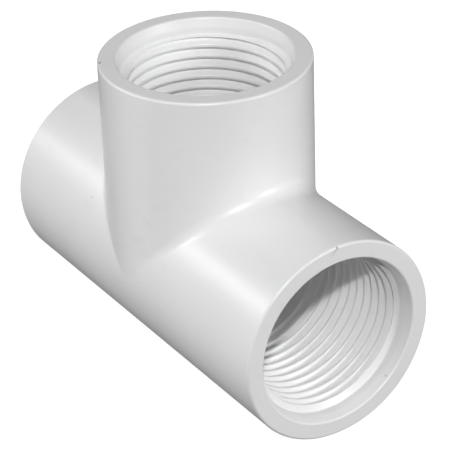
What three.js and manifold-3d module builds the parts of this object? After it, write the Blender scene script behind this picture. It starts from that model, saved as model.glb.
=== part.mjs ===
// PVC tee fitting with three female tapered pipe threads, 1 inch nominal.
//
// The fitting is one injection moulding. It is built here as one solid and then parted by flat planes
// into the regions that a fitter names: the centre body and the three threaded sockets round it. The
// regions meet face to face, so a thread that runs from a socket into the centre body stays in step.
//
// Frame: millimetres, origin where the run axis and the branch axis cross, +X along the run towards
// its front mouth, +Z along the branch towards its mouth.

import * as THREE from 'three';
import { mergeVertices } from 'three/addons/utils/BufferGeometryUtils.js';
import Module from 'manifold-3d';

// Outside of the moulding
const BARREL_RADIUS = 20.5;         // the run and the branch have the same outside diameter
const END_DISTANCE = 42.4;          // from the crossing of the axes to each mouth
const CROTCH_RADIUS = 3.0;          // fillet where the branch grows out of the run
const RIM_CHAMFER = 0.5;            // broken outer edge of each mouth

// Inside of each socket, by depth from the mouth
const LEAD_IN_RADIUS = 17.05;       // at the rim face
const LEAD_IN_DEPTH = 2.0;
const RELIEF_RADIUS = 16.4;         // smooth ring between the lead-in and the thread
const RELIEF_DEPTH = 3.2;
const RUN_WATERWAY_RADIUS = 13.9;
const BRANCH_WATERWAY_RADIUS = 13.5;

// Tapered pipe thread, 11.5 turns to the inch, taper 1 in 16 on the diameter
const THREAD_PITCH = 25.4 / 11.5;
const THREAD_TAPER = 1 / 32;        // on the radius, per millimetre of depth
const ROOT_RADIUS = 16.6;           // bottom of the groove, at the rim face
const CREST_RADIUS = 14.95;         // inward tip of the thread, at the rim face
const CREST_FLAT = 0.25;            // width of the flat on the tip
const THREAD_START_DEPTH = 3.6;
const THREAD_TURNS = 10.5;
const START_TURNS = 0.25;           // length of the groove's fade-in, in turns
const RUN_OUT_TURNS = 0.6;          // length of the groove's fade-out at the deep end
const THREAD_START_ANGLE = THREE.MathUtils.degToRad(238);

// Facets
const BARREL_SIDES = 48;            // a multiple of 4, so that the crotch closes at the barrel's sides
const THREAD_SIDES = 32;
const FILLET_STEPS = 4;
const OVERLAP = 1.0;                // how far a cutter runs past the face that it cuts

// Where the moulding is parted into its named regions: just past the crotch fillet
const SOCKET_PLANE = BARREL_RADIUS + CROTCH_RADIUS + 0.5;

const wasm = await Module();
wasm.setup();

// A list of triangles, each three Vector3 in outward order, as a closed solid
function solidFromTriangles(triangles) {
  const positions = triangles.flat().flatMap((point) => [point.x, point.y, point.z]);
  const geometry = new THREE.BufferGeometry();
  geometry.setAttribute('position', new THREE.Float32BufferAttribute(positions, 3));
  return solidFromGeometry(geometry);
}

function solidFromGeometry(geometry) {
  const bare = geometry.clone();
  bare.deleteAttribute('normal');
  bare.deleteAttribute('uv');
  const merged = mergeVertices(bare, 1e-4);
  const index = merged.index.array;
  const corners = [];
  for (let i = 0; i < index.length; i += 3) {
    const [a, b, c] = [index[i], index[i + 1], index[i + 2]];
    if (a !== b && b !== c && c !== a) corners.push(a, b, c);
  }
  return new wasm.Manifold(new wasm.Mesh({
    numProp: 3,
    vertProperties: new Float32Array(merged.attributes.position.array),
    triVerts: new Uint32Array(corners),
  }));
}

function geometryFromSolid(solid) {
  const mesh = solid.getMesh();
  const geometry = new THREE.BufferGeometry();
  geometry.setAttribute('position', new THREE.Float32BufferAttribute(mesh.vertProperties, 3));
  geometry.setIndex([...mesh.triVerts]);
  geometry.computeVertexNormals();
  return geometry;
}

function quad(a, b, c, d) {
  return [[a, b, c], [a, c, d]];
}

// Reflected in the plane x = 0, with each triangle turned round so that it still faces outwards
function mirroredInX(triangles) {
  const flip = (point) => new THREE.Vector3(-point.x, point.y, point.z);
  return triangles.map(([a, b, c]) => [flip(a), flip(c), flip(b)]);
}

// Rim of a mouth: the broken edge, then the flat face as a fan, from one point of the barrel to the next
function rimTriangles(axis, from, to) {
  const onFace = (point) => {
    const radial = point.clone().projectOnPlane(axis);
    return radial.setLength(BARREL_RADIUS - RIM_CHAMFER).addScaledVector(axis, END_DISTANCE);
  };
  const centre = axis.clone().multiplyScalar(END_DISTANCE);
  return [...quad(from, to, onFace(to), onFace(from)), [centre, onFace(from), onFace(to)]];
}

// Outer skin of the half of the tee with x >= 0, without its cut plane. At angle a round the run, with
// 0 at the top, the run barrel, the crotch fillet and the branch barrel share one y.
function halfSkin() {
  const ballRadius = BARREL_RADIUS + CROTCH_RADIUS;
  const barrelEnd = END_DISTANCE - RIM_CHAMFER;
  const runAxis = new THREE.Vector3(1, 0, 0);
  const branchAxis = new THREE.Vector3(0, 0, 1);
  const quarter = BARREL_SIDES / 4;
  const angle = (i) => (2 * Math.PI * i) / BARREL_SIDES;
  const touch = (i) => (Math.abs(i) < quarter ? ballRadius * Math.cos(angle(i)) : 0);
  const onRun = (i, x) => new THREE.Vector3(
    x, BARREL_RADIUS * Math.sin(angle(i)), BARREL_RADIUS * Math.cos(angle(i)));
  const onBranch = (i, z) => new THREE.Vector3(
    BARREL_RADIUS * Math.cos(angle(i)), BARREL_RADIUS * Math.sin(angle(i)), z);
  const triangles = [];

  for (let i = -2 * quarter; i < 2 * quarter; i += 1) {
    const [a, b] = [onRun(i, barrelEnd), onRun(i + 1, barrelEnd)];
    triangles.push(...quad(onRun(i + 1, touch(i + 1)), onRun(i, touch(i)), a, b));
    triangles.push(...rimTriangles(runAxis, b, a));
  }
  for (let i = -quarter; i < quarter; i += 1) {
    const [a, b] = [onBranch(i, barrelEnd), onBranch(i + 1, barrelEnd)];
    triangles.push(...quad(onBranch(i, touch(i)), onBranch(i + 1, touch(i + 1)), b, a));
    triangles.push(...rimTriangles(branchAxis, a, b));
  }

  // The fillet's section at step i is an arc from the run barrel to the branch barrel
  const arcPoint = (i, step) => {
    const centre = new THREE.Vector3(touch(i), ballRadius * Math.sin(angle(i)), touch(i));
    const start = onRun(i, touch(i)).sub(centre);
    const end = onBranch(i, touch(i)).sub(centre);
    const sweep = start.angleTo(end);
    if (sweep < 1e-6) return start.add(centre);
    const turned = start.clone().applyAxisAngle(
      start.clone().cross(end).normalize(), (sweep * step) / FILLET_STEPS);
    return turned.add(centre);
  };
  for (let i = -quarter; i < quarter; i += 1) {
    for (let step = 0; step < FILLET_STEPS; step += 1) {
      triangles.push(...quad(
        arcPoint(i, step), arcPoint(i + 1, step), arcPoint(i + 1, step + 1), arcPoint(i, step + 1)));
    }
  }
  return triangles;
}

function outerBody() {
  const half = halfSkin();
  return solidFromTriangles([...half, ...mirroredInX(half)]);
}

// A solid of revolution about Z from [radius, z] points that start and end on the axis
function revolved(profile, sides) {
  const points = profile.map(([radius, z]) => new THREE.Vector2(radius, z));
  return solidFromGeometry(new THREE.LatheGeometry(points, sides).rotateX(Math.PI / 2));
}

// The smooth mouth of one socket, about Z: the lead-in, the relief ring and the shoulder inside it
function socketMouth() {
  const shoulderDepth = RELIEF_DEPTH + (RELIEF_RADIUS - CREST_RADIUS) * Math.tan(Math.PI / 6);
  return revolved([
    [0, END_DISTANCE - shoulderDepth],
    [CREST_RADIUS - OVERLAP, END_DISTANCE - shoulderDepth],
    [RELIEF_RADIUS, END_DISTANCE - RELIEF_DEPTH],
    [RELIEF_RADIUS, END_DISTANCE - LEAD_IN_DEPTH],
    [LEAD_IN_RADIUS, END_DISTANCE],
    [LEAD_IN_RADIUS, END_DISTANCE + OVERLAP],
    [0, END_DISTANCE + OVERLAP],
  ], THREAD_SIDES);
}

// A straight bore about Z from one height to another
function waterway(radius, from, to) {
  return revolved([[0, from], [radius, from], [radius, to], [0, to]], THREAD_SIDES);
}

// The thread's groove as a screw about Z, wound right-handed from the mouth inwards: a root line, then
// the two edges of the flat crest half a pitch on, with a flank or the flat between each line and the
// next. A turn with no groove comes first, so that the screw's blunt end is out in the smooth mouth.
function threadScrew() {
  const firstColumn = -THREAD_SIDES;
  const lastColumn = Math.round(THREAD_SIDES * (THREAD_TURNS - 1));
  const point = (column, radius, depth) => {
    const theta = THREAD_START_ANGLE - (2 * Math.PI * column) / THREAD_SIDES;
    return new THREE.Vector3(
      radius * Math.cos(theta), radius * Math.sin(theta), END_DISTANCE - depth);
  };
  const fullness = (turns) => {
    const fadeIn = THREE.MathUtils.smoothstep(turns, 0, START_TURNS);
    const fadeOut = THREE.MathUtils.smoothstep(THREAD_TURNS - turns, 0, RUN_OUT_TURNS);
    return Math.min(fadeIn, fadeOut);
  };
  const root = (column) => {
    const turns = column / THREAD_SIDES;
    const depth = THREAD_START_DEPTH + turns * THREAD_PITCH;
    const height = (ROOT_RADIUS - CREST_RADIUS) * fullness(turns);
    return point(column, CREST_RADIUS + height - depth * THREAD_TAPER, depth);
  };
  const crest = (column, side) => {
    const middle = THREAD_START_DEPTH + (column / THREAD_SIDES + 0.5) * THREAD_PITCH;
    const depth = middle + (side * CREST_FLAT) / 2;
    return point(column, CREST_RADIUS - depth * THREAD_TAPER, depth);
  };
  const nextRoot = (column) => root(column + THREAD_SIDES);
  const lines = [root, (column) => crest(column, -1), (column) => crest(column, 1), nextRoot];
  const triangles = [];
  for (let column = firstColumn; column < lastColumn; column += 1) {
    for (let i = 0; i + 1 < lines.length; i += 1) {
      const [outer, inner] = [lines[i], lines[i + 1]];
      triangles.push(...quad(outer(column), outer(column + 1), inner(column + 1), inner(column)));
    }
  }

  // Each end is closed by a fan from a point on the axis
  const closeEnd = (first, outward) => {
    const loop = [];
    for (let column = first; column <= first + THREAD_SIDES; column += 1) loop.push(root(column));
    loop.push(crest(first, 1), crest(first, -1));
    const hub = new THREE.Vector3(0, 0, crest(first, 0).z);
    loop.forEach((corner, i) => {
      const following = loop[(i + 1) % loop.length];
      triangles.push(outward ? [hub, following, corner] : [hub, corner, following]);
    });
  };
  closeEnd(firstColumn, true);
  closeEnd(lastColumn, false);
  return solidFromTriangles(triangles);
}

function turned(solid, degreesAboutY) {
  return solid.rotate([0, degreesAboutY, 0]);
}

// A box that holds everything with its coordinate on one axis past the socket plane
function beyondSocketPlane(axis) {
  const size = 4 * END_DISTANCE;
  const box = new THREE.BoxGeometry(size, size, size);
  const centre = axis.clone().multiplyScalar(SOCKET_PLANE + size / 2);
  return solidFromGeometry(box.translate(centre.x, centre.y, centre.z));
}

function buildRegions() {
  const socket = socketMouth().add(threadScrew());
  const threadEnd = END_DISTANCE - THREAD_START_DEPTH - (THREAD_TURNS - 1) * THREAD_PITCH;
  const runWaterway = waterway(RUN_WATERWAY_RADIUS, -threadEnd, threadEnd);
  const moulding = outerBody()
    .subtract(turned(runWaterway, 90))
    .subtract(waterway(BRANCH_WATERWAY_RADIUS, 0, threadEnd))
    .subtract(socket)
    .subtract(turned(socket, 90))
    .subtract(turned(socket, -90));
  const cuts = {
    run_socket_front: beyondSocketPlane(new THREE.Vector3(1, 0, 0)),
    run_socket_rear: beyondSocketPlane(new THREE.Vector3(-1, 0, 0)),
    branch_socket: beyondSocketPlane(new THREE.Vector3(0, 0, 1)),
  };
  const regions = {};
  let centre = moulding;
  for (const [name, cut] of Object.entries(cuts)) {
    regions[name] = moulding.intersect(cut);
    centre = centre.subtract(cut);
  }
  return { centre_body: centre, ...regions };
}

function whitePvc() {
  return new THREE.MeshStandardMaterial({ color: 0xf0f1f2, roughness: 0.35, metalness: 0 });
}

const tee = new THREE.Group();
for (const [name, solid] of Object.entries(buildRegions())) {
  const mesh = new THREE.Mesh(geometryFromSolid(solid), whitePvc());
  mesh.name = name;
  tee.add(mesh);
}

export default tee;
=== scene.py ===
"""PVC tee fitting: the fine surfaces, the material, the studio and the camera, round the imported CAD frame.

The tee is one moulding. Each CAD region is replaced by one closed mesh with the true helical threads,
rounded edges and crotch fillets, and the meshes share their points and normals where they meet, so
that the moulding shows no seam. Lengths are in millimetres until a mesh is made.
"""
import math

import bpy
import numpy as np
from mathutils import Matrix, Vector


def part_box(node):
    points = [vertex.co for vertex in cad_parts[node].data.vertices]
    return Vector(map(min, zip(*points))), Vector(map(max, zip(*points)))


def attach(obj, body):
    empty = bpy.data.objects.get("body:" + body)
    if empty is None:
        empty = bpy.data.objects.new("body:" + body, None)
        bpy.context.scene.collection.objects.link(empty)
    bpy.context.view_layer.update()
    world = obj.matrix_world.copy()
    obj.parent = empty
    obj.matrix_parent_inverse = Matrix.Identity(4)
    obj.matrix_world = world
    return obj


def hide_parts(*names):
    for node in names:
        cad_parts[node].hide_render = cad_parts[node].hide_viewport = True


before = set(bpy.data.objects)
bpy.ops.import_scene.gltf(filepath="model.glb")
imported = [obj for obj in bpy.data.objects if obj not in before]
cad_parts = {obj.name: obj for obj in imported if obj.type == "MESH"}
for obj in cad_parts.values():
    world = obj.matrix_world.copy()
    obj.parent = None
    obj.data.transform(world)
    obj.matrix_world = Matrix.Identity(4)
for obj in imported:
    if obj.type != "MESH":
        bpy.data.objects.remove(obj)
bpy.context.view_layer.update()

MM = 0.001

# ---------------------------------------------------------------- sizes, from the frame and the design
socket_low, socket_high = (np.round(np.array(corner) / MM, 3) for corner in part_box("run_socket_front"))
END_DISTANCE = socket_high[0]         # from the crossing of the axes to each mouth
BARREL_RADIUS = socket_high[1]
SOCKET_PLANE = socket_low[0]          # where a socket meets the centre body
CROTCH_RADIUS = 3.0
RIM_OUTER_ROUND = 0.5
RIM_INNER_ROUND = 0.45

LEAD_IN_RADIUS = 17.05
LEAD_IN_DEPTH = 2.0
RELIEF_RADIUS = 16.4
RELIEF_DEPTH = 3.2
SHOULDER_SLOPE = math.tan(math.radians(60))   # how fast the shoulder closes in with depth
RUN_WATERWAY = 13.9
BRANCH_WATERWAY = 13.5

PITCH = 25.4 / 11.5
TAPER = 1 / 32
ROOT_RADIUS = 16.45
CREST_RADIUS = 15.25                  # the rounded tip, a little short of the sharp CAD one
THREAD_START_DEPTH = 3.6
THREAD_TURNS = 10.5
START_TURNS = 0.25
RUN_OUT_TURNS = 0.6
THREAD_START_ANGLE = math.radians(238)
ROOT_FLAT = 0.16                      # in pitches
CREST_FLAT = 0.28
ROOT_ROUNDING = 0.14                  # of the groove's corners, as a share of its height
CREST_ROUNDING = 0.28
EDGE_ROUNDING = 0.15                  # of the edges between relief, shoulder and thread

# ---------------------------------------------------------------- how finely the surfaces are divided
OUTER_COLUMNS = 192
BRANCH_COLUMNS = 120
RUN_LOWER_COLUMNS = 70
FILLET_ROWS = 12
ROUND_ROWS = 6
CONE_ROWS = 4
CONE_CORNER = 0.6                     # how far before the cone's end the fine rows start
MOUTH_ROW_STEP = 0.08
MOUTH_ROWS_END = 6.0                  # depth where the rows start to follow the thread
PAST_THREAD = 0.8                     # plain wall after the last turn
THREAD_END = THREAD_START_DEPTH + THREAD_TURNS * PITCH + PAST_THREAD
PITCH_ROWS = (0.0, 0.05, 0.11, 0.2, 0.28, 0.34, 0.4, 0.46, 0.54, 0.6, 0.66, 0.72, 0.8, 0.89, 0.95)


# ---------------------------------------------------------------- the socket's inner surface
def smooth_max(a, b, width):
    """The larger of the two, with the corner rounded where they are within width of each other."""
    near = np.maximum(width - np.abs(a - b), 0)
    return np.maximum(a, b) + near ** 2 / (4 * width)


def smooth_min(a, b, width):
    return -smooth_max(-a, -b, width)


def smooth_step(x):
    x = np.clip(x, 0, 1)
    return x * x * (3 - 2 * x)


def thread_profile(phase):
    """0 on the groove's floor and 1 on the thread's tip, by distance from the groove in pitches."""
    flank = 0.5 - (ROOT_FLAT + CREST_FLAT) / 2
    ramp = (np.abs(phase) - ROOT_FLAT / 2) / flank
    return smooth_min(smooth_max(ramp, 0, ROOT_ROUNDING), 1, CREST_ROUNDING)


def turns_before(theta):
    """Turns from the thread's start to angle theta. A right-hand thread goes deeper as theta falls."""
    return (THREAD_START_ANGLE - theta) / (2 * math.pi)


def thread_radius(theta, depth):
    """Radius of the threaded wall at angle theta about the socket's axis and depth from its mouth."""
    phase = (depth - THREAD_START_DEPTH) / PITCH - turns_before(theta)
    groove = np.round(phase)
    turns = turns_before(theta) + groove
    fullness = smooth_step(turns / START_TURNS) * smooth_step((THREAD_TURNS - turns) / RUN_OUT_TURNS)
    height = (ROOT_RADIUS - CREST_RADIUS) * (1 - thread_profile(phase - groove)) * fullness
    return CREST_RADIUS + height - depth * TAPER


def mouth_radius(depth):
    """Radius of the smooth mouth: the lead-in cone, the relief ring, then the shoulder."""
    slope = (LEAD_IN_RADIUS - RELIEF_RADIUS) / LEAD_IN_DEPTH
    lead_in = LEAD_IN_RADIUS - slope * depth
    shoulder = RELIEF_RADIUS - (depth - RELIEF_DEPTH) * SHOULDER_SLOPE
    open_part = smooth_max(lead_in, RELIEF_RADIUS, EDGE_ROUNDING)
    return smooth_min(open_part, shoulder, EDGE_ROUNDING)


def bore_radius(theta, depth, waterway):
    """Radius of the whole inner wall: mouth, thread, then the shoulder down to the waterway."""
    wall = np.minimum(thread_radius(theta, depth), waterway + THREAD_END - depth)
    return smooth_max(wall, mouth_radius(depth), EDGE_ROUNDING)


# ---------------------------------------------------------------- arms of the tee
def round_axis(radius, theta, height):
    """Points of an arm, in the arm's own frame: its axis is +Z, towards the mouth."""
    height = np.broadcast_to(height, np.shape(theta))
    return np.stack([radius * np.cos(theta), radius * np.sin(theta), height], axis=-1)


class Arm:
    """One of the three arms: how its own frame lies in the row frame, and the columns of its bore."""

    def __init__(self, node, placed, waterway, bore_columns, crossing):
        self.node = node
        self.placed = placed          # turns points of the arm's own frame into the row frame
        self.waterway = waterway
        self.bore_columns = bore_columns
        self.crossing = crossing      # height where the waterway meets the crossing, by column
        step = 2 * math.pi / OUTER_COLUMNS
        first = round(bore_columns[0] / step)
        self.outer_columns = np.arange(first, first + OUTER_COLUMNS + 1) * step


def on_branch(points):
    return points


def on_front(points):
    return np.stack([points[..., 2], points[..., 1], -points[..., 0]], axis=-1)


def on_rear(points):
    return np.stack([-points[..., 2], points[..., 1], points[..., 0]], axis=-1)


def branch_arm():
    angles = np.linspace(0, 2 * math.pi, BRANCH_COLUMNS + 1)
    crossing = np.sqrt(RUN_WATERWAY ** 2 - (BRANCH_WATERWAY * np.sin(angles)) ** 2)
    return Arm("branch_socket", on_branch, BRANCH_WATERWAY, angles, crossing)


def run_bore_columns():
    """Angles from the top of the run, and where each column starts along it. The columns under the
    branch start on the edge of the branch's waterway, at the branch's own columns."""
    branch_angles = np.linspace(-math.pi / 2, math.pi / 2, BRANCH_COLUMNS // 2 + 1)
    upper = np.arcsin(BRANCH_WATERWAY / RUN_WATERWAY * np.sin(branch_angles))
    upper_start = BRANCH_WATERWAY * np.cos(branch_angles)
    lower = np.linspace(upper[-1], upper[0] + 2 * math.pi, RUN_LOWER_COLUMNS + 1)[1:]
    return np.concatenate([upper, lower]), np.concatenate([upper_start, np.zeros(len(lower))])


def run_arm(node, placed, own_angle):
    from_top, start = run_bore_columns()
    angles = own_angle(from_top)
    order = np.argsort(angles)
    return Arm(node, placed, RUN_WATERWAY, angles[order], start[order])


# ---------------------------------------------------------------- gathering faces into a closed mesh
class Shell:
    """Faces with one normal per corner, joined where their points coincide."""

    MERGE = 1e-4                      # millimetres
    CELL_OFFSET = 0.371               # keeps round sizes off the borders between merging cells

    def __init__(self):
        self.points = []
        self.normals = []

    def add_faces(self, points, normals):
        self.points.append(points)
        self.normals.append(normals)

    def add_grid(self, surface, u, v):
        """Quads over the 2-D parameter arrays u and v, where u then v turns outwards."""
        step = 1e-4
        points = surface(u, v)
        along_u = surface(u + step, v) - surface(u - step, v)
        along_v = surface(u, v + step) - surface(u, v - step)
        normals = np.cross(along_u, along_v)
        normals /= np.linalg.norm(normals, axis=-1, keepdims=True)
        self.add_sheet(points, normals, 1)

    def add_sheet(self, points, normals, side):
        """Quads over a grid of points. side is 1 if its rows then columns turn outwards, else -1."""
        here, there = slice(None, -1), slice(1, None)
        corners = [(here, here), (there, here), (there, there), (here, there)][::side]
        quads = np.stack([points[corner] for corner in corners], axis=2)
        quad_normals = np.stack([normals[corner] for corner in corners], axis=2)
        self.add_faces(quads.reshape(-1, 4, 3), quad_normals.reshape(-1, 4, 3))

    def add_flat_ring(self, outer, outer_angles, inner, inner_angles, normal):
        """Triangles between two loops in one plane, each given once round with its first point again."""
        triangles = []
        i = j = 0
        while i + 1 < len(outer) or j + 1 < len(inner):
            step_outer = j + 1 >= len(inner) or (
                i + 1 < len(outer) and outer_angles[i + 1] <= inner_angles[j + 1])
            if step_outer:
                triangles.append([outer[i], outer[i + 1], inner[j], inner[j]])
                i += 1
            else:
                triangles.append([outer[i], inner[j + 1], inner[j], inner[j]])
                j += 1
        faces = np.array(triangles)
        across = np.cross(faces[:, 1] - faces[:, 0], faces[:, 2] - faces[:, 0])
        flipped = across @ normal < 0
        faces[flipped] = faces[flipped][:, [2, 1, 0, 0]]
        self.add_faces(faces, np.broadcast_to(normal, faces.shape))

    def mesh(self, name):
        corners = np.concatenate(self.points).reshape(-1, 3)
        normals = np.concatenate(self.normals).reshape(-1, 3)
        keys = np.round(corners / self.MERGE + self.CELL_OFFSET).astype(np.int64)
        _, first, index = np.unique(keys, axis=0, return_index=True, return_inverse=True)
        quads = index.reshape(-1, 4)
        faces, loop_normals = [], []
        for face, face_normals in zip(quads.tolist(), normals.reshape(-1, 4, 3)):
            kept = [k for k in range(4) if face[k] != face[k - 1]]
            if len({face[k] for k in kept}) < 3:
                continue
            faces.append([face[k] for k in kept])
            loop_normals.extend(face_normals[kept])
        mesh = bpy.data.meshes.new(name)
        mesh.from_pydata((corners[first] * MM).tolist(), [], faces)
        mesh.polygons.foreach_set("use_smooth", [True] * len(mesh.polygons))
        mesh.normals_split_custom_set([tuple(n) for n in loop_normals])
        return mesh


# ---------------------------------------------------------------- the surfaces
def add_barrel(shell, arm, low, high):
    """Outside of an arm between two heights, each one number or one per column."""
    angles = arm.outer_columns
    low = np.broadcast_to(low, angles.shape)
    heights = np.stack([low, np.broadcast_to(high, angles.shape)], axis=1)
    theta = np.repeat(angles[:, None], 2, axis=1)
    shell.add_grid(lambda t, h: arm.placed(round_axis(BARREL_RADIUS, t, h)), theta, heights)


def add_rim(shell, arm):
    """The rounded outer edge, the flat rim and the rounded inner edge. Returns where the bore starts."""
    slope = (LEAD_IN_RADIUS - RELIEF_RADIUS) / LEAD_IN_DEPTH
    cone = math.hypot(1, slope)
    first_depth = RIM_INNER_ROUND * (1 - slope / cone)

    def outer_round(theta, turn):
        radius = BARREL_RADIUS - RIM_OUTER_ROUND * (1 - np.cos(turn))
        return arm.placed(round_axis(radius, theta, END_DISTANCE - RIM_OUTER_ROUND * (1 - np.sin(turn))))

    def inner_round(theta, turn):
        start = bore_radius(theta, first_depth, arm.waterway)
        centre = start + RIM_INNER_ROUND / cone
        depth = RIM_INNER_ROUND * (1 - np.cos(turn))
        return arm.placed(round_axis(centre - RIM_INNER_ROUND * np.sin(turn), theta, END_DISTANCE - depth))

    theta, turn = np.meshgrid(arm.outer_columns, np.linspace(0, math.pi / 2, ROUND_ROWS + 1), indexing="ij")
    shell.add_grid(outer_round, theta, turn)
    outer_loop = outer_round(theta, turn)[:, -1]
    last_turn = math.atan(1 / slope)
    theta, turn = np.meshgrid(arm.bore_columns, np.linspace(0, last_turn, ROUND_ROWS + 1), indexing="ij")
    shell.add_grid(inner_round, theta, turn)
    inner_loop = inner_round(theta, turn)[:, 0]
    face = arm.placed(np.array([0.0, 0.0, 1.0]))
    shell.add_flat_ring(outer_loop, arm.outer_columns, inner_loop, arm.bore_columns, face)
    return first_depth


def bore_surface(arm):
    def surface(theta, depth):
        radius = bore_radius(theta, depth, arm.waterway)
        return arm.placed(round_axis(radius, theta, END_DISTANCE - depth))
    return surface


def add_mouth(shell, arm, first_depth):
    """The smooth mouth and the thread's start, in rows of one depth each."""
    fine_start = LEAD_IN_DEPTH - CONE_CORNER
    cone = np.linspace(first_depth, fine_start - MOUTH_ROW_STEP, CONE_ROWS + 1)
    fine = np.arange(fine_start, MOUTH_ROWS_END - MOUTH_ROW_STEP / 2, MOUTH_ROW_STEP)
    depths = np.concatenate([cone, fine, [MOUTH_ROWS_END]])
    theta, depth = np.meshgrid(arm.bore_columns, depths, indexing="ij")
    shell.add_grid(bore_surface(arm), theta, depth)


def add_thread(shell, arm, low, high):
    """The threaded wall between two depths, in rows that follow the thread's helix."""
    pitches = np.arange(-2, math.ceil(high / PITCH) + 2)
    phases = (pitches[:, None] + np.array(PITCH_ROWS)).ravel()
    theta = np.repeat(arm.bore_columns[:, None], len(phases), axis=1)
    depth = THREAD_START_DEPTH + PITCH * (phases + turns_before(theta))
    shell.add_grid(bore_surface(arm), theta, np.clip(depth, low, high))


def add_parting(shell, arm, direction):
    """The flat ring where a socket and the centre body meet. direction is 1 towards the mouth."""
    depth = END_DISTANCE - SOCKET_PLANE
    inner = bore_surface(arm)(arm.bore_columns, np.full_like(arm.bore_columns, depth))
    outer = arm.placed(round_axis(BARREL_RADIUS, arm.outer_columns, SOCKET_PLANE))
    normal = arm.placed(np.array([0.0, 0.0, 1.0])) * direction
    shell.add_flat_ring(outer, arm.outer_columns, inner, arm.bore_columns, normal)


def socket_shell(arm):
    shell = Shell()
    add_barrel(shell, arm, SOCKET_PLANE, END_DISTANCE - RIM_OUTER_ROUND)
    first_depth = add_rim(shell, arm)
    add_mouth(shell, arm, first_depth)
    add_thread(shell, arm, MOUTH_ROWS_END, END_DISTANCE - SOCKET_PLANE)
    add_parting(shell, arm, -1)
    return shell


def touch_height(angles, inward):
    """Where the crotch fillet touches a barrel, by angle about that barrel's axis. inward is -1 or 1
    on the run, for the side of its own X that faces the branch, and 0 on the branch."""
    ball = BARREL_RADIUS + CROTCH_RADIUS
    if inward:
        return ball * np.maximum(0, inward * np.cos(angles))
    return ball * np.abs(np.cos(angles))


def add_crotch(shell, side):
    """The fillet between the branch and one side of the run: side is 1 at the front, -1 at the rear.
    It is the path of a ball that rolls along both barrels."""
    angles = np.linspace(-math.pi / 2, math.pi / 2, OUTER_COLUMNS // 2 + 1)
    angle, share = np.meshgrid(angles, np.linspace(0, 1, FILLET_ROWS + 1), indexing="ij")
    nothing = np.zeros_like(angle)
    ball = BARREL_RADIUS + CROTCH_RADIUS
    centre = ball * np.stack([side * np.cos(angle), np.sin(angle), np.cos(angle)], axis=-1)
    to_run = np.stack([nothing, -np.sin(angle), -np.cos(angle)], axis=-1)
    to_branch = np.stack([-side * np.cos(angle), -np.sin(angle), nothing], axis=-1)
    sweep = np.arccos(np.clip((to_run * to_branch).sum(axis=-1), -1, 1))[..., None]
    share = share[..., None]
    spread = np.maximum(np.sin(sweep), 1e-9)
    turned = (np.sin((1 - share) * sweep) * to_run + np.sin(share * sweep) * to_branch) / spread
    towards = np.where(sweep > 1e-6, turned, to_run)
    shell.add_sheet(centre + CROTCH_RADIUS * towards, -towards, side)


def add_waterway(shell, arm):
    """The plain bore from the thread's deep end to the crossing."""
    start = np.full_like(arm.crossing, THREAD_END)
    depths = np.stack([start, END_DISTANCE - arm.crossing], axis=1)
    theta = np.repeat(arm.bore_columns[:, None], 2, axis=1)
    shell.add_grid(lambda t, d: arm.placed(round_axis(arm.waterway, t, END_DISTANCE - d)), theta, depths)


def centre_shell(front, rear, branch):
    shell = Shell()
    for arm, inward in ((front, -1), (rear, 1), (branch, 0)):
        add_barrel(shell, arm, touch_height(arm.outer_columns, inward), SOCKET_PLANE)
        add_parting(shell, arm, 1)
        add_thread(shell, arm, END_DISTANCE - SOCKET_PLANE, THREAD_END)
        add_waterway(shell, arm)
    add_crotch(shell, 1)
    add_crotch(shell, -1)
    return shell


# ---------------------------------------------------------------- the material
# Small dark spots in the colour at the outer edges of the front rim and the branch's rim, the first with a
# fading trail: the middle and the reach along X, Y and Z in millimetres, and how dark
DARK_RIM_SPOTS = (
    ((42.3, -0.35, 20.2), (0.40, 0.28, 0.32), 0.75),
    ((42.4, -0.70, 19.95), (0.30, 0.30, 0.30), 0.40),
    ((42.4, -1.05, 19.6), (0.30, 0.28, 0.32), 0.30),
    ((42.4, -1.40, 19.2), (0.30, 0.26, 0.32), 0.22),
    ((42.4, -1.70, 18.85), (0.30, 0.22, 0.28), 0.15),
    ((-9.3, -17.7, 42.35), (0.45, 0.40, 0.30), 0.70),
)


def new_material(name):
    material = bpy.data.materials.new(name)
    material.use_nodes = True
    return material, material.node_tree


def noise(tree, scale, detail, stretch=(1, 1, 1)):
    """Noise in the object's own metres, scale in features per metre."""
    place = tree.nodes.new("ShaderNodeTexCoord")
    mapping = tree.nodes.new("ShaderNodeMapping")
    mapping.inputs["Scale"].default_value = stretch
    texture = tree.nodes.new("ShaderNodeTexNoise")
    texture.inputs["Scale"].default_value = scale
    texture.inputs["Detail"].default_value = detail
    tree.links.new(place.outputs["Object"], mapping.inputs["Vector"])
    tree.links.new(mapping.outputs["Vector"], texture.inputs["Vector"])
    return texture.outputs["Fac"]


def remapped(tree, value, low, high, to_low, to_high):
    node = tree.nodes.new("ShaderNodeMapRange")
    node.inputs["From Min"].default_value = low
    node.inputs["From Max"].default_value = high
    node.inputs["To Min"].default_value = to_low
    node.inputs["To Max"].default_value = to_high
    tree.links.new(value, node.inputs["Value"])
    return node.outputs["Result"]


def multiplied(tree, a, b):
    node = tree.nodes.new("ShaderNodeMath")
    node.operation = "MULTIPLY"
    tree.links.new(a, node.inputs[0])
    tree.links.new(b, node.inputs[1])
    return node.outputs["Value"]


def bumped(tree, height, distance, under=None):
    node = tree.nodes.new("ShaderNodeBump")
    node.inputs["Strength"].default_value = 1.0
    node.inputs["Distance"].default_value = distance
    tree.links.new(height, node.inputs["Height"])
    if under is not None:
        tree.links.new(under, node.inputs["Normal"])
    return node.outputs["Normal"]


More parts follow.
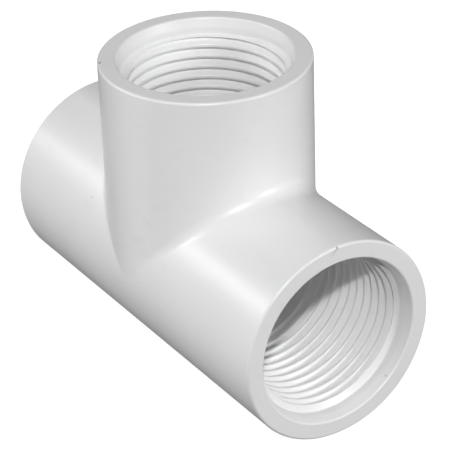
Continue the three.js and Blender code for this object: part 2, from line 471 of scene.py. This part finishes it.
def specks(tree):
    """A few small dark specks of dirt, some millimetres apart, as a mask."""
    place = tree.nodes.new("ShaderNodeTexCoord")
    cells = tree.nodes.new("ShaderNodeTexVoronoi")
    cells.inputs["Scale"].default_value = 190
    tree.links.new(place.outputs["Object"], cells.inputs["Vector"])
    channels = tree.nodes.new("ShaderNodeSeparateColor")
    tree.links.new(cells.outputs["Color"], channels.inputs["Color"])
    chosen = remapped(tree, channels.outputs["Red"], 0.80, 0.82, 0.0, 1.0)
    dot = remapped(tree, cells.outputs["Distance"], 0.025, 0.055, 1.0, 0.0)
    return multiplied(tree, chosen, dot)


def dark_rim_spot(tree, centre, reach):
    """A mask that is 1 at a point of the part and 0 past reach, both in millimetres along X, Y and Z."""
    place = tree.nodes.new("ShaderNodeTexCoord")
    scaled = tree.nodes.new("ShaderNodeMapping")
    scaled.inputs["Location"].default_value = [-c / r for c, r in zip(centre, reach)]
    scaled.inputs["Scale"].default_value = [1 / (r * MM) for r in reach]
    tree.links.new(place.outputs["Object"], scaled.inputs["Vector"])
    length = tree.nodes.new("ShaderNodeVectorMath")
    length.operation = "LENGTH"
    tree.links.new(scaled.outputs["Vector"], length.inputs[0])
    return remapped(tree, length.outputs["Value"], 0.55, 1.0, 1.0, 0.0)


def blended(tree, below, above, mask, amount):
    """The colour above laid over the colour below where the mask is, up to amount."""
    mix = tree.nodes.new("ShaderNodeMix")
    mix.data_type = "RGBA"
    mix.inputs["B"].default_value = above
    tree.links.new(below, mix.inputs["A"])
    tree.links.new(remapped(tree, mask, 0.0, 1.0, 0.0, amount), mix.inputs["Factor"])
    return mix.outputs["Result"]


def white_pvc():
    """Satin injection-moulded PVC: cloudy gloss, faint mould texture, specks, scuffs and small dark spots on
    the rims.
    """
    material, tree = new_material("white_pvc")
    shader = tree.nodes["Principled BSDF"]
    shader.inputs["IOR"].default_value = 1.53
    shader.inputs["Coat Weight"].default_value = 0.28
    shader.inputs["Coat Roughness"].default_value = 0.30
    clouds = noise(tree, 70, 3)
    grain = noise(tree, 1400, 2)
    ripples = noise(tree, 160, 2, stretch=(1.0, 1.0, 0.35))
    scuffs = remapped(tree, noise(tree, 420, 4, stretch=(0.25, 1.4, 1.0)), 0.60, 0.74, 0.0, 1.0)

    tint = tree.nodes.new("ShaderNodeValToRGB")
    tint.color_ramp.elements[0].position = 0.2
    tint.color_ramp.elements[0].color = (0.845, 0.847, 0.849, 1)
    tint.color_ramp.elements[1].position = 0.8
    tint.color_ramp.elements[1].color = (0.872, 0.872, 0.872, 1)
    tree.links.new(clouds, tint.inputs["Fac"])
    colour = blended(tree, tint.outputs["Color"], (0.80, 0.79, 0.78, 1), scuffs, 0.35)
    colour = blended(tree, colour, (0.30, 0.28, 0.26, 1), specks(tree), 0.5)
    # darker colour in small spots on the rims' outer edges
    for centre, reach, amount in DARK_RIM_SPOTS:
        colour = blended(tree, colour, (0.22, 0.21, 0.20, 1), dark_rim_spot(tree, centre, reach), amount)
    tree.links.new(colour, shader.inputs["Base Color"])

    gloss = tree.nodes.new("ShaderNodeMath")
    gloss.operation = "ADD"
    tree.links.new(remapped(tree, clouds, 0.2, 0.8, 0.34, 0.41), gloss.inputs[0])
    tree.links.new(remapped(tree, scuffs, 0.0, 1.0, 0.0, 0.06), gloss.inputs[1])
    tree.links.new(gloss.outputs["Value"], shader.inputs["Roughness"])

    surface = bumped(tree, ripples, 0.00006)
    tree.links.new(bumped(tree, grain, 0.000006, surface), shader.inputs["Normal"])
    return material


def floor_white():
    material, tree = new_material("floor_white")
    shader = tree.nodes["Principled BSDF"]
    shader.inputs["Base Color"].default_value = (0.8, 0.8, 0.8, 1)
    shader.inputs["Roughness"].default_value = 0.9
    shader.inputs["Specular IOR Level"].default_value = 0.1
    shader.inputs["Emission Color"].default_value = (1, 1, 1, 1)
    shader.inputs["Emission Strength"].default_value = 0.72
    return material


# ---------------------------------------------------------------- the pieces
def add_piece(node, shell, material):
    mesh = shell.mesh("moulding_" + node)
    piece = bpy.data.objects.new(mesh.name, mesh)
    bpy.context.scene.collection.objects.link(piece)
    mesh.materials.append(material)
    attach(piece, "root")
    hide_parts(node)


def build_tee():
    front = run_arm("run_socket_front", on_front, lambda from_top: math.pi - from_top)
    rear = run_arm("run_socket_rear", on_rear, lambda from_top: from_top)
    branch = branch_arm()
    material = white_pvc()
    for arm in (front, rear, branch):
        add_piece(arm.node, socket_shell(arm), material)
    add_piece("centre_body", centre_shell(front, rear, branch), material)


# ---------------------------------------------------------------- studio and camera
FLOOR_HALF = 3.0
LIGHT_DISTANCE = 1.6
# name, azimuth from +X and elevation in degrees, half-width and half-height that it fills in degrees,
# how strongly it lights a surface that faces it, and whether it shows in reflections
LIGHTS = (
    ("key", -32, 41, 1.2, 1.2, 1.50, True),
    ("key_softbox", -38, 34, 13, 13, 0.30, True),
    ("right_softbox", 25, 22, 9, 9, 1.18, True),
    ("left_strip", -126, 23, 20, 5, 1.20, True),
    ("low_right_fill", 72, -10, 12, 12, 0.55, False),
    ("low_left_fill", -112, -22, 14, 14, 0.68, False),
    ("rear_fill", 147, 2, 14, 14, 0.40, False),
    ("rear_glint", 177, 44, 0.8, 0.8, 0.10, True),
)
AMBIENT = 0.07

CAMERA_AZIMUTH = math.radians(57.46)       # round +Z, anticlockwise from looking along +Y
CAMERA_ELEVATION = math.radians(30.11)
CAMERA_ROLL = math.radians(-2.23)
CAMERA_OFFSET = (0.00232, 0.00450, 0.4233)   # right, up and back from the origin, in metres
FOCAL_LENGTH = 170.3                       # on a 36 mm sensor


def add_floor():
    mesh = bpy.data.meshes.new("floor")
    level = -BARREL_RADIUS * MM
    corners = [(x * FLOOR_HALF, y * FLOOR_HALF, level) for x, y in ((-1, -1), (1, -1), (1, 1), (-1, 1))]
    mesh.from_pydata(corners, [], [(0, 1, 2, 3)])
    mesh.materials.append(floor_white())
    floor = bpy.data.objects.new("floor", mesh)
    bpy.context.scene.collection.objects.link(floor)
    floor.visible_diffuse = False
    floor.visible_glossy = False
    floor.visible_shadow = False


def direction(azimuth, elevation):
    azimuth, elevation = math.radians(azimuth), math.radians(elevation)
    return Vector((math.cos(elevation) * math.cos(azimuth), math.cos(elevation) * math.sin(azimuth),
                   math.sin(elevation)))


def add_light(name, azimuth, elevation, half_width, half_height, strength, in_reflections):
    light = bpy.data.lights.new(name, "AREA")
    light.shape = "ELLIPSE"
    light.size = 2 * LIGHT_DISTANCE * math.tan(math.radians(half_width))
    light.size_y = 2 * LIGHT_DISTANCE * math.tan(math.radians(half_height))
    light.energy = strength * math.pi * LIGHT_DISTANCE ** 2
    lamp = bpy.data.objects.new(name, light)
    bpy.context.scene.collection.objects.link(lamp)
    lamp.location = direction(azimuth, elevation) * LIGHT_DISTANCE
    lamp.rotation_euler = lamp.location.to_track_quat("Z", "Y").to_euler()
    lamp.visible_camera = False
    lamp.visible_glossy = in_reflections


def add_world():
    world = bpy.data.worlds.new("studio")
    world.use_nodes = True
    bpy.context.scene.world = world
    background = world.node_tree.nodes["Background"]
    background.inputs["Color"].default_value = (1, 1, 1, 1)
    background.inputs["Strength"].default_value = AMBIENT


def add_camera():
    back = Vector((math.sin(CAMERA_AZIMUTH) * math.cos(CAMERA_ELEVATION),
                   -math.cos(CAMERA_AZIMUTH) * math.cos(CAMERA_ELEVATION),
                   math.sin(CAMERA_ELEVATION)))
    level_right = (-back).cross(Vector((0, 0, 1))).normalized()
    level_up = level_right.cross(-back)
    right = math.cos(CAMERA_ROLL) * level_right + math.sin(CAMERA_ROLL) * level_up
    up = math.cos(CAMERA_ROLL) * level_up - math.sin(CAMERA_ROLL) * level_right
    place = right * CAMERA_OFFSET[0] + up * CAMERA_OFFSET[1] + back * CAMERA_OFFSET[2]
    camera = bpy.data.cameras.new("camera")
    camera.lens = FOCAL_LENGTH
    camera.sensor_width = 36
    camera.clip_start = 0.01
    view = bpy.data.objects.new("camera", camera)
    bpy.context.scene.collection.objects.link(view)
    columns = Matrix((right, up, back)).transposed()
    view.matrix_world = Matrix.Translation(place) @ columns.to_4x4()
    bpy.context.scene.camera = view


build_tee()
add_floor()
add_world()
for light in LIGHTS:
    add_light(*light)
add_camera()
bpy.context.scene.view_settings.view_transform = "Standard"
